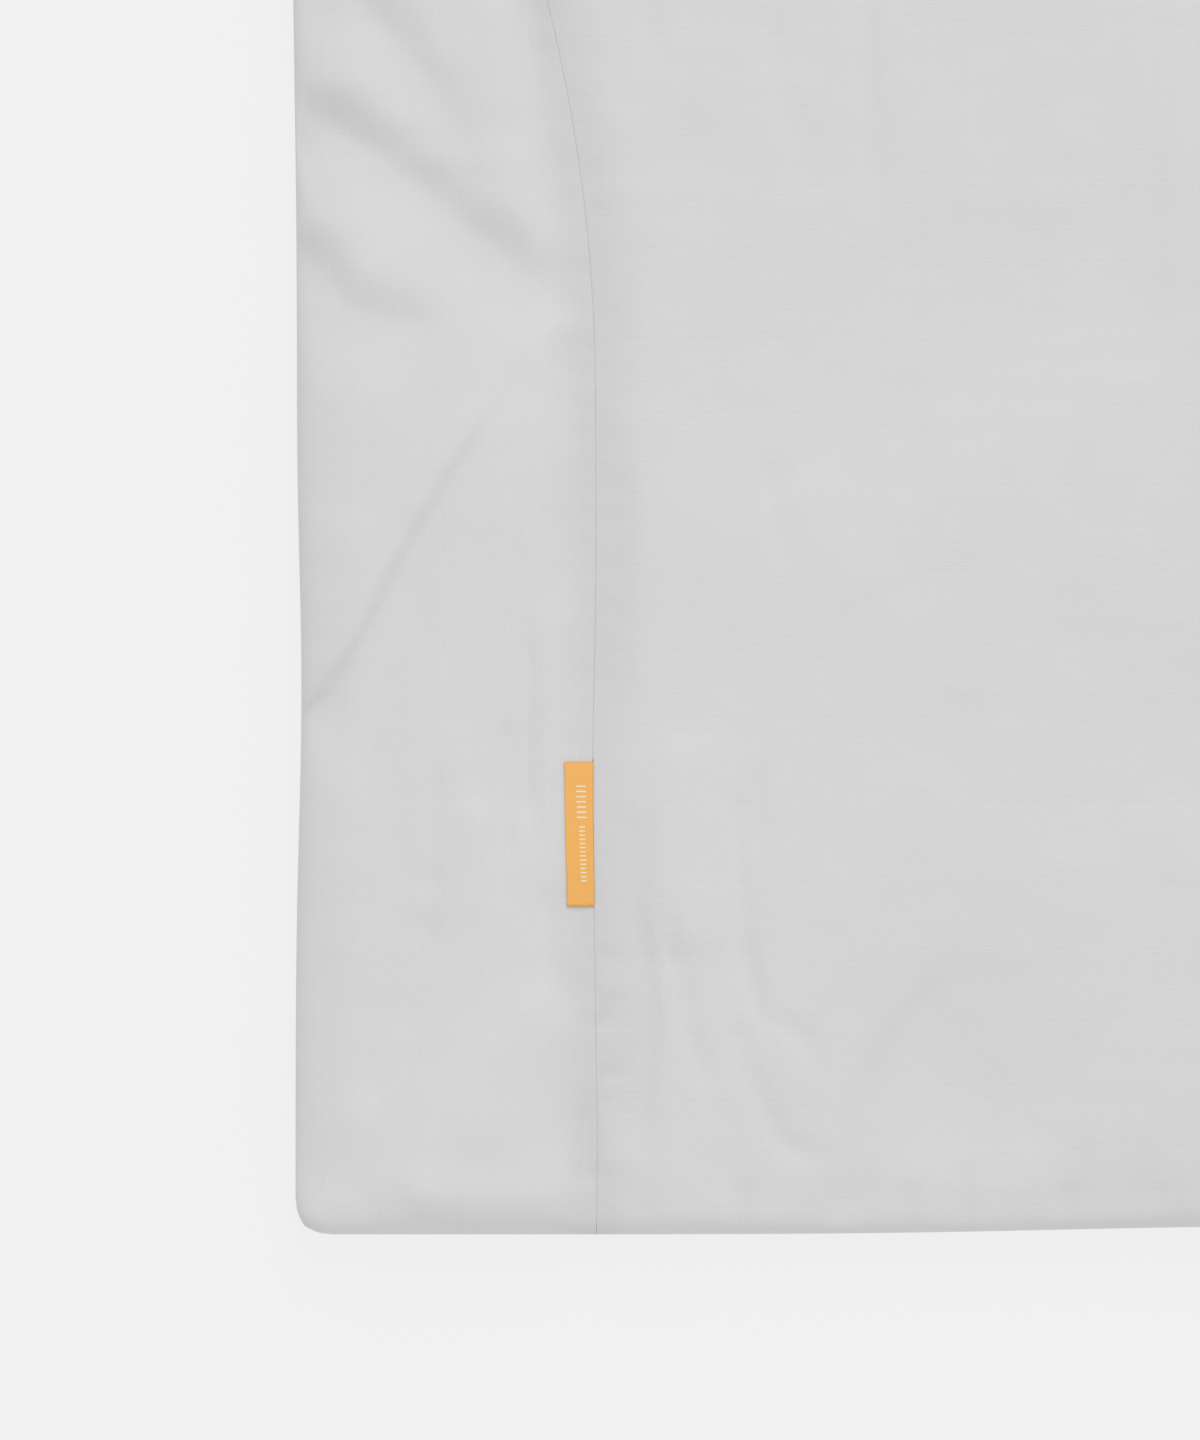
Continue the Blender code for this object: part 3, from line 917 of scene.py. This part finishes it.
def batts(finish):
    """The three batts, which end short of the turned edges and the seam allowances."""
    set_back = 1.8 * MM
    edge = 9 * MM

    def centre_border(side):
        def border(y):
            return side * np.minimum(np.abs(seam_at(side, y)) - set_back, HALF_WIDTH - edge)

        return border

    borders = (centre_border(LEFT), centre_border(RIGHT))
    rows = (edge - HALF_LENGTH, HALF_LENGTH - edge)
    made = [batt("center_batt", "insulation_center", *borders, *rows, 11 * MM, finish)]
    for side in (LEFT, RIGHT):
        def outer(y, side=side):
            return np.full(y.shape, side * (HALF_WIDTH - edge))

        def inner(y, side=side):
            return side * np.minimum(np.abs(seam_at(side, y)) + set_back, HALF_WIDTH - edge - 1 * MM)

        borders = (outer, inner) if side == LEFT else (inner, outer)
        rows = (edge - HALF_LENGTH, SEAM_END_Y - 0.020)
        name = SIDE_NAMES[side]
        made.append(batt(f"{name}_gusset_batt", f"insulation_{name}", *borders, *rows, 6 * MM, finish))
    return made


def strand(name, path, radius, closed, finish, sides=6):
    """A round thread along a path, as a mesh with its length along u in metres."""
    path = np.asarray(path)
    if closed:
        path = np.concatenate([path, path[:1]])
    along = np.gradient(path, axis=0)
    along /= np.maximum(np.linalg.norm(along, axis=1), 1e-9)[:, None]
    aside = np.cross(along, np.array([0.0, 0.0, 1.0]))
    aside /= np.maximum(np.linalg.norm(aside, axis=1), 1e-9)[:, None]
    upward = np.cross(aside, along)
    angle = np.linspace(0, 2 * math.pi, sides + 1)
    ring = aside[:, None] * np.cos(angle)[None, :, None] + upward[:, None] * np.sin(angle)[None, :, None]
    points = path[:, None] + radius * ring
    length = np.concatenate([[0], np.cumsum(np.linalg.norm(np.diff(path, axis=0), axis=1))])
    u = np.repeat(length[:, None], sides + 1, 1)
    v = np.repeat((angle * radius)[None, :], len(path), 0)
    uv = quads(np.stack([u, v], -1)).reshape(-1, 2)
    index = np.arange(len(path) * sides).reshape(len(path), sides)
    faces = quads(np.concatenate([index, index[:, :1]], 1)).reshape(-1, 4)
    points = points[:, :-1]
    if closed:
        points = points[:-1]
        polygons = (faces % index[-1, 0]).tolist()
    else:
        polygons = faces.tolist() + [index[0][::-1].tolist(), index[-1].tolist()]
        uv = np.concatenate([uv, np.zeros((2 * sides, 2))])
    return cloth_piece(name, points, polygons, uv, finish)


def side_stitches(side, finish):
    """The lockstitches of a side seam, each a low arch between two needle holes in the seam's valley."""
    count = int((SEAM_LENGTH - 0.008) / STITCH)
    distance = 0.004 + np.arange(count * 6 + 1) * STITCH / 6
    angle = np.clip(distance - SEAM_STRAIGHT, 0, None) / SEAM_RADIUS
    y = np.where(distance < SEAM_STRAIGHT, distance - HALF_LENGTH, TURN_Y + SEAM_RADIUS * np.sin(angle))
    x = seam_at(side, y)
    arch = np.abs(np.sin(np.arange(count * 6 + 1) * math.pi / 6)) ** 0.6
    z = face_height(x, y) - 0.25 * MM + 0.15 * MM * arch
    z = np.maximum(z, FACE_BASE + 0.3 * MM)
    piece = strand(f"{SIDE_NAMES[side]}_seam_stitches", laid(x, y, z), THREAD_RADIUS, False, finish)
    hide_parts(f"side_seam_thread_{SIDE_NAMES[side]}")
    return piece


def edge_stitches(finish):
    """The thread of the edge seam, in the groove between face and lining."""
    inset = SEAM_NOTCH + 0.35 * MM
    step = STITCH * 0.6
    wide, long = HALF_WIDTH - inset, HALF_LENGTH - inset
    corner = 0.018
    path = []
    corners = [np.array([wide * across, long * up]) for across, up in ((-1, -1), (1, -1), (1, 1), (-1, 1))]
    for a, b in zip(corners, corners[1:] + corners[:1]):
        run = np.linalg.norm(b - a)
        stops = steps(0, corner, 1.5 * MM) + steps(corner, run - corner, step)
        stops += steps(run - corner, run, 1.5 * MM)
        path += [a + (b - a) * stop / run for stop in stops]
    x, y = np.array(path).T
    z = EDGE_SEAM_HEIGHT + 0.06 * MM * np.sin(np.arange(len(x)) * math.pi * 0.6)
    piece = strand("edge_seam_stitches", laid(x, y, z), THREAD_RADIUS, True, finish, 5)
    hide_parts("edge_seam_thread")
    return piece


# ---------------------------------------------------------------- label

RIBBON = 0.2 * MM
TAIL_DEPTH = 7.5 * MM
LABEL_TRIM = 1.1 * MM  # how much shorter than the CAD's the label is, and how far it leans
TAIL_LAYER = 0.11 * MM  # seam line to each layer's middle, inside the seam
FLAP_LAYERS = 0.24 * MM  # from the lower layer's middle to the upper one's
FOLD_RADIUS = 0.17 * MM
FLAP_PARTS = (0.12, 0.22, 0.34, 0.46, 0.60, 0.74, 0.88, 0.96)  # of the way from the seam to the fold
TAIL_PARTS = (TAIL_DEPTH, 5.5 * MM, 3.5 * MM, 2.0 * MM, 1.0 * MM)


def folded_label(finish):
    """One ribbon folded double, caught in the left seam and lying over the gusset panel."""
    length = LABEL_HIGH.y - LABEL_LOW.y - LABEL_TRIM
    rows = 41
    share = np.linspace(0, 1, rows)
    y = LABEL_LOW.y + LABEL_TRIM + length * share
    root = seam_at(LEFT, y)
    ground = face_height(root, y)
    flap_end = LABEL_LOW.x + 0.5 * MM + LABEL_TRIM * (1 - share) + 0.08 * MM * np.sin(share * 9)
    reach = root - flap_end
    lift = 0.06 * MM + 0.05 * MM * np.sin(share * 7.5 + 0.7) + 0.03 * MM * np.sin(share * 17)

    def under(outward):
        """Height of the lower layer's middle, lying on the cloth at a distance out from the seam."""
        return face_height(root - outward, y) + 0.13 * MM + lift * outward / reach

    section = []
    # up out of the seam, along the gusset to the fold, and back above to the seam and down
    for depth in TAIL_PARTS:
        section.append((TAIL_LAYER, ground - depth))
    for out, rise in ((0.13, -0.45), (0.28, -0.12), (0.62, 0.06)):
        section.append((out * MM, ground + rise * MM))
    for part in FLAP_PARTS:
        section.append((reach * part, under(reach * part)))
    for turn in (-50, 0, 50):
        a = math.radians(turn)
        middle = under(reach) + FOLD_RADIUS
        section.append((reach - FOLD_RADIUS * (1 - math.cos(a)), middle + FOLD_RADIUS * math.sin(a)))
    for part in FLAP_PARTS[::-1]:
        swell = math.sin(math.pi * part)
        section.append((reach * part, under(reach * part) + FLAP_LAYERS + 0.10 * MM * swell))
    for out, rise in ((0.55, 0.32), (0.22, 0.20), (-0.12, 0.04), (-0.12, -0.35)):
        section.append((out * MM, ground + rise * MM))
    for depth in TAIL_PARTS[::-1]:
        section.append((-TAIL_LAYER, ground - depth))
    points = np.stack([laid(root - outward, y, z) for outward, z in section], 1)
    run = np.linalg.norm(np.diff(points, axis=1), axis=2).mean(0)
    u = np.concatenate([[0], np.cumsum(run)])
    coordinates = np.stack(np.meshgrid(u, share * length), -1)
    piece = grid_mesh("folded_label", points, coordinates, finish)
    thicken(piece, RIBBON, 0)
    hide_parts("flag_label", "flag_label_tail")
    middle = HINGE.y
    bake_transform(piece)
    return piece


# ---------------------------------------------------------------- materials


class Nodes:
    """Short calls that add and join shader nodes."""

    def __init__(self, name, roughness, specular, sheen, sheen_roughness):
        self.material = bpy.data.materials.new(name)
        self.material.use_nodes = True
        self.tree = self.material.node_tree
        self.shader = self.tree.nodes["Principled BSDF"]
        self.shader.inputs["Roughness"].default_value = roughness
        self.shader.inputs["Specular IOR Level"].default_value = specular
        self.shader.inputs["Sheen Weight"].default_value = sheen
        self.shader.inputs["Sheen Roughness"].default_value = sheen_roughness
        uv = self.tree.nodes.new("ShaderNodeUVMap")
        uv.uv_map = "cloth"
        split = self.tree.nodes.new("ShaderNodeSeparateXYZ")
        self.tree.links.new(uv.outputs[0], split.inputs[0])
        self.uv, self.u, self.v = uv.outputs[0], split.outputs[0], split.outputs[1]

    def put(self, socket, value):
        if hasattr(value, "is_output"):
            self.tree.links.new(value, socket)
        else:
            socket.default_value = value

    def math(self, operation, a, b=0.0, c=0.0):
        node = self.tree.nodes.new("ShaderNodeMath")
        node.operation = operation
        for socket, value in zip(node.inputs, (a, b, c)):
            self.put(socket, value)
        return node.outputs[0]

    def wave(self, value, period):
        """A sine from -1 to 1 with a period in metres."""
        return self.math("SINE", self.math("MULTIPLY", value, 2 * math.pi / period))

    def lines(self, value, period, sharpness):
        """Thin lines, 1 on the line and 0 between, with a period in metres."""
        lifted = self.math("MULTIPLY_ADD", self.wave(value, period), 0.5, 0.5)
        return self.math("POWER", lifted, sharpness)

    def noise(self, size, detail=2.0, stretch=None):
        """Noise with features of a size in metres, -0.5 to 0.5."""
        node = self.tree.nodes.new("ShaderNodeTexNoise")
        node.inputs["Scale"].default_value = 1 / size
        node.inputs["Detail"].default_value = detail
        source = self.uv
        if stretch:
            mapping = self.tree.nodes.new("ShaderNodeMapping")
            mapping.inputs["Scale"].default_value = stretch
            self.tree.links.new(self.uv, mapping.inputs[0])
            source = mapping.outputs[0]
        self.tree.links.new(source, node.inputs["Vector"])
        return self.math("SUBTRACT", node.outputs["Fac"], 0.5)

    def sum(self, *terms):
        """The weighted sum of (weight, value) terms."""
        total = 0.0
        for weight, value in terms:
            total = self.math("MULTIPLY_ADD", value, weight, total)
        return total

    def colour(self, dark, light, value):
        """A colour between two, for a value from 0 to 1."""
        node = self.tree.nodes.new("ShaderNodeMix")
        node.data_type = "RGBA"
        self.put(node.inputs["Factor"], value)
        for name, shade in (("A", dark), ("B", light)):
            socket = next(item for item in node.inputs if item.name == name and item.type == "RGBA")
            self.put(socket, shade if hasattr(shade, "is_output") else (*shade, 1))
        return next(item for item in node.outputs if item.type == "RGBA")

    def clamped(self, value):
        return self.math("MINIMUM", self.math("MAXIMUM", value, 0.0), 1.0)

    def beside_seam(self, width):
        """1 on a side seam and falling over a width, for a face panel's cloth coordinates."""
        up = self.clamped(self.math("DIVIDE", self.math("SUBTRACT", self.v, TURN_Y), SEAM_RADIUS))
        drawn = self.math("SQRT", self.math("MULTIPLY_ADD", self.math("MULTIPLY", up, up), -1.0, 1.0))
        line = self.math("MULTIPLY_ADD", drawn, -SEAM_RADIUS, SEAM_X + SEAM_RADIUS)
        away = self.math("DIVIDE", self.math("SUBTRACT", self.math("ABSOLUTE", self.u), line), width)
        near = self.math("POWER", math.e, self.math("MULTIPLY", self.math("MULTIPLY", away, away), -1.0))
        below_end = self.clamped(self.math("DIVIDE", self.math("SUBTRACT", SEAM_END_Y, self.v), 0.05))
        return self.math("MULTIPLY", near, below_end)

    def beside_edge(self, width):
        """1 on the turned side edges and 0 from a width inwards, for a face panel's cloth coordinates."""
        inset = self.math("SUBTRACT", HALF_WIDTH, self.math("ABSOLUTE", self.u))
        return self.math("SUBTRACT", 1.0, self.clamped(self.math("DIVIDE", inset, width)))

    def bump(self, height, distance):
        """Bump whose height is in units of distance, in metres."""
        node = self.tree.nodes.new("ShaderNodeBump")
        node.inputs["Strength"].default_value = 1.0
        node.inputs["Distance"].default_value = distance
        self.tree.links.new(height, node.inputs["Height"])
        self.tree.links.new(node.outputs[0], self.shader.inputs["Normal"])

    def finish(self, colour, roughness=None):
        self.put(self.shader.inputs["Base Color"], colour)
        if roughness is not None:
            self.put(self.shader.inputs["Roughness"], roughness)
        return self.material


def face_cloth(name, across, upright):
    """Matte light grey ripstop: a plain weave with a heavier thread every few millimetres both ways.

    across and upright weigh the threads of the two ways, which show differently as the panels are cut.
    """
    n = Nodes(name, 0.82, 0.25, 0.12, 0.5)
    ripstop_v = n.lines(n.v, 2.45 * MM, 14)
    ripstop_u = n.lines(n.u, 3.4 * MM, 22)
    weave = n.math("MULTIPLY", n.wave(n.u, 0.36 * MM), n.wave(n.v, 0.33 * MM))
    cloud, patch, slub = n.noise(0.022, 3), n.noise(0.11, 2), n.noise(0.0016, 2, (0.35, 1.6, 1))
    lines = ((across, ripstop_v), (upright, ripstop_u))
    shown = [(0.13 * weight, line) for weight, line in lines]
    raised = [(0.026 * weight, line) for weight, line in lines]
    tone = n.sum((0.35, cloud), (0.35, patch), (0.2, slub), *shown, (0.05, weave))
    shade = n.math("ADD", tone, 0.5)
    n.bump(n.sum(*raised, (0.02, weave), (0.024, slub), (0.25, cloud)), 1 * MM)
    roughness = n.math("MULTIPLY_ADD", tone, 0.12, 0.80)
    # painted shade: the cloth is a little darker beside the side seams and the turned side edges, standing in
    # for the shade that falls in the seam valleys and on the edge rolls
    unshaded_colour = n.colour((0.640, 0.640, 0.641), (0.700, 0.700, 0.701), shade)
    painted_shade_colour = n.colour((0.600, 0.600, 0.601), (0.660, 0.660, 0.661), shade)
    # mask of the painted shade: full on the side seams, and 0.8 of it at the side edges
    painted_shade_mask = n.math("MAXIMUM", n.beside_seam(10 * MM), n.math("MULTIPLY", n.beside_edge(22 * MM), 0.8))
    return n.finish(n.colour(unshaded_colour, painted_shade_colour, painted_shade_mask), roughness)


def lining_cloth():
    """Smooth plain-weave lining, slightly darker and with more sheen than the face."""
    n = Nodes("lining_weave", 0.62, 0.35, 0.2, 0.4)
    weave = n.math("MULTIPLY", n.wave(n.u, 0.30 * MM), n.wave(n.v, 0.26 * MM))
    slub, cloud = n.noise(0.0014, 2, (0.25, 2, 1)), n.noise(0.03, 3)
    tone = n.sum((0.3, slub), (0.4, cloud), (0.1, weave))
    n.bump(n.sum((0.02, weave), (0.025, slub), (0.2, cloud)), 1 * MM)
    roughness = n.math("MULTIPLY_ADD", tone, 0.15, 0.60)
    return n.finish(n.colour((0.53, 0.535, 0.54), (0.59, 0.595, 0.60), n.math("ADD", tone, 0.5)), roughness)


def batting():
    """White synthetic batt: a tangle of fine fibres."""
    n = Nodes("batt_fibre", 0.95, 0.2, 0.3, 0.6)
    first, second = n.noise(0.0012, 4, (0.2, 2.2, 1)), n.noise(0.0012, 4, (2.2, 0.25, 1))
    clumps = n.noise(0.012, 4)
    tone = n.sum((0.5, first), (0.5, second), (0.6, clumps))
    n.bump(n.sum((0.3, first), (0.3, second), (0.8, clumps)), 1 * MM)
    return n.finish(n.colour((0.78, 0.78, 0.765), (0.90, 0.90, 0.895), n.math("ADD", tone, 0.5)))


def sewing_thread():
    """Grey polyester thread, two plies twisted."""
    n = Nodes("thread_twist", 0.55, 0.4, 0.15, 0.4)
    slant = n.math("MULTIPLY_ADD", n.v, 1.4, n.u)
    ply = n.wave(slant, 0.55 * MM)
    fibre = n.noise(0.0001, 2)
    n.bump(n.sum((0.04, ply), (0.02, fibre)), 1 * MM)
    tone = n.sum((0.3, ply), (0.3, fibre))
    return n.finish(n.colour((0.50, 0.50, 0.50), (0.64, 0.64, 0.64), n.math("ADD", tone, 0.5)))


BAND_CENTRE = 22.6 * MM  # of the bars, across the unfolded ribbon
BAND_LEAN = -0.018
# middle and half length along the label, half width, pitch, and how much of the pitch stays plain
BAR_ROWS = (
    (35.0 * MM, 6.1 * MM, 1.6 * MM, 1.75 * MM, 0.62),
    (17.8 * MM, 9.8 * MM, 1.0 * MM, 1.40 * MM, 0.60),
)


def label_ribbon():
    """Orange woven ribbon, with two rows of plain pale bars in place of its lettering."""
    n = Nodes("label_weave", 0.5, 0.35, 0.25, 0.4)
    rib = n.wave(n.v, 0.28 * MM)
    warp = n.wave(n.u, 0.22 * MM)
    weave = n.math("MULTIPLY", rib, warp)
    cloud = n.noise(0.006, 3)
    tone = n.sum((0.4, cloud), (0.16, weave), (0.10, rib))
    base = n.colour((0.92, 0.44, 0.10), (0.99, 0.53, 0.14), n.math("ADD", tone, 0.5))

    # two rows of fine bars lie in the middle of the upper layer
    band = n.math("MULTIPLY_ADD", n.v, BAND_LEAN, BAND_CENTRE)
    across = n.math("ABSOLUTE", n.math("SUBTRACT", n.u, band))
    mark = 0.0
    for middle, half_length, half_width, pitch, share in BAR_ROWS:
        along = n.math("COMPARE", n.v, middle, half_length)
        inside = n.math("LESS_THAN", across, half_width)
        bars = n.math("GREATER_THAN", n.wave(n.v, pitch), share)
        mark = n.math("MULTIPLY_ADD", n.math("MULTIPLY", along, inside), bars, mark)
    white = n.colour((0.90, 0.76, 0.52), (1.0, 0.92, 0.72), n.math("MULTIPLY_ADD", weave, 0.5, 0.5))
    n.bump(n.sum((0.025, rib), (0.02, warp), (0.03, mark), (0.1, cloud)), 1 * MM)
    roughness = n.math("MULTIPLY_ADD", mark, 0.12, 0.48)
    return n.finish(n.colour(base, white, mark), roughness)


def floor_material():
    """A plain pale floor that glows a little, so that it stays as even as the photograph's."""
    material = bpy.data.materials.new("pale_floor")
    material.use_nodes = True
    shader = material.node_tree.nodes["Principled BSDF"]
    shader.inputs["Base Color"].default_value = (0.08, 0.08, 0.08, 1)
    shader.inputs["Roughness"].default_value = 1.0
    shader.inputs["Specular IOR Level"].default_value = 0.0
    shader.inputs["Emission Color"].default_value = (1, 1, 1, 1)
    shader.inputs["Emission Strength"].default_value = 0.80
    return material


# ---------------------------------------------------------------- stage, lights, camera


def floor():
    """A wide round floor under the lining."""
    mesh = bpy.data.meshes.new("floor")
    sides, radius = 96, 60.0
    angles = [2 * math.pi * number / sides for number in range(sides)]
    ring = [(radius * math.cos(angle), radius * math.sin(angle), 0) for angle in angles]
    mesh.from_pydata(ring, [], [list(range(sides))])
    mesh.materials.append(floor_material())
    stage = placed("floor", mesh)
    stage.location.z = -0.2 * MM


def lights():
    """An even dome, and one broad soft lamp from the head of the quilt, slightly from its right."""
    world = bpy.data.worlds.new("studio")
    world.use_nodes = True
    world.node_tree.nodes["Background"].inputs["Color"].default_value = (1, 1, 1, 1)
    world.node_tree.nodes["Background"].inputs["Strength"].default_value = 0.862
    bpy.context.scene.world = world
    lamp = bpy.data.lights.new("key", "SUN")
    lamp.energy = 0.88
    lamp.angle = math.radians(30)
    key = placed("key", lamp)
    toward = Vector((0.20, 0.82, 0.55))
    key.rotation_mode = "QUATERNION"
    key.rotation_quaternion = toward.to_track_quat("Z", "Y")


VIEW_HEIGHT = 0.490
VIEW_CENTRE = (0.1037 - HALF_WIDTH, 0.1752 - HALF_LENGTH)
VIEW_PLANE = 0.012  # the height at which the view is that high


def camera():
    """Straight down on the lower left corner, with a long lens."""
    data = bpy.data.cameras.new("camera")
    data.lens = 135
    data.sensor_width = 36
    distance = VIEW_HEIGHT * data.lens / data.sensor_width
    data.clip_start = 0.01
    data.clip_end = 200
    eye = placed("camera", data)
    eye.location = (*VIEW_CENTRE, VIEW_PLANE + distance)
    bpy.context.scene.camera = eye


def gusset_area():
    """Flat area of a gusset panel between the edge and the seam line."""
    a = SEAM_END_ANGLE
    arc = GUSSET_WIDTH * SEAM_RADIUS * math.sin(a)
    arc -= SEAM_RADIUS**2 * (math.sin(a) - a / 2 - math.sin(2 * a) / 4)
    return GUSSET_WIDTH * SEAM_STRAIGHT + arc


def quilt():
    """All pieces of the quilt; all but the folded label ride on the quilt's body."""
    face, gusset = face_cloth("center_ripstop", 1.0, 0.5), face_cloth("gusset_ripstop", 0.6, 1.5)
    lining_finish, fill = lining_cloth(), batting()
    thread, ribbon = sewing_thread(), label_ribbon()
    center = center_face(face)
    gussets = [gusset_face(side, gusset) for side in (LEFT, RIGHT)]
    under = lining(lining_finish)
    pads = batts(fill)
    seams = [side_stitches(side, thread) for side in (LEFT, RIGHT)] + [edge_stitches(thread)]
    for piece in [center, *gussets, under, *pads, *seams]:
        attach(piece, "quilt")
    folded_label(ribbon)

    turn = 2 * (ALLOWANCE + 0.006)  # the allowances and the roll's extra length, both sides
    width, length = 2 * HALF_WIDTH + turn, 2 * HALF_LENGTH + turn
    centre_area = width * length - 2 * gusset_area() * 1.03
    for side, piece in zip((LEFT, RIGHT), gussets):
        area = gusset_area() * 1.18


bpy.context.scene.view_settings.view_transform = "Standard"
camera()
floor()
lights()
quilt()
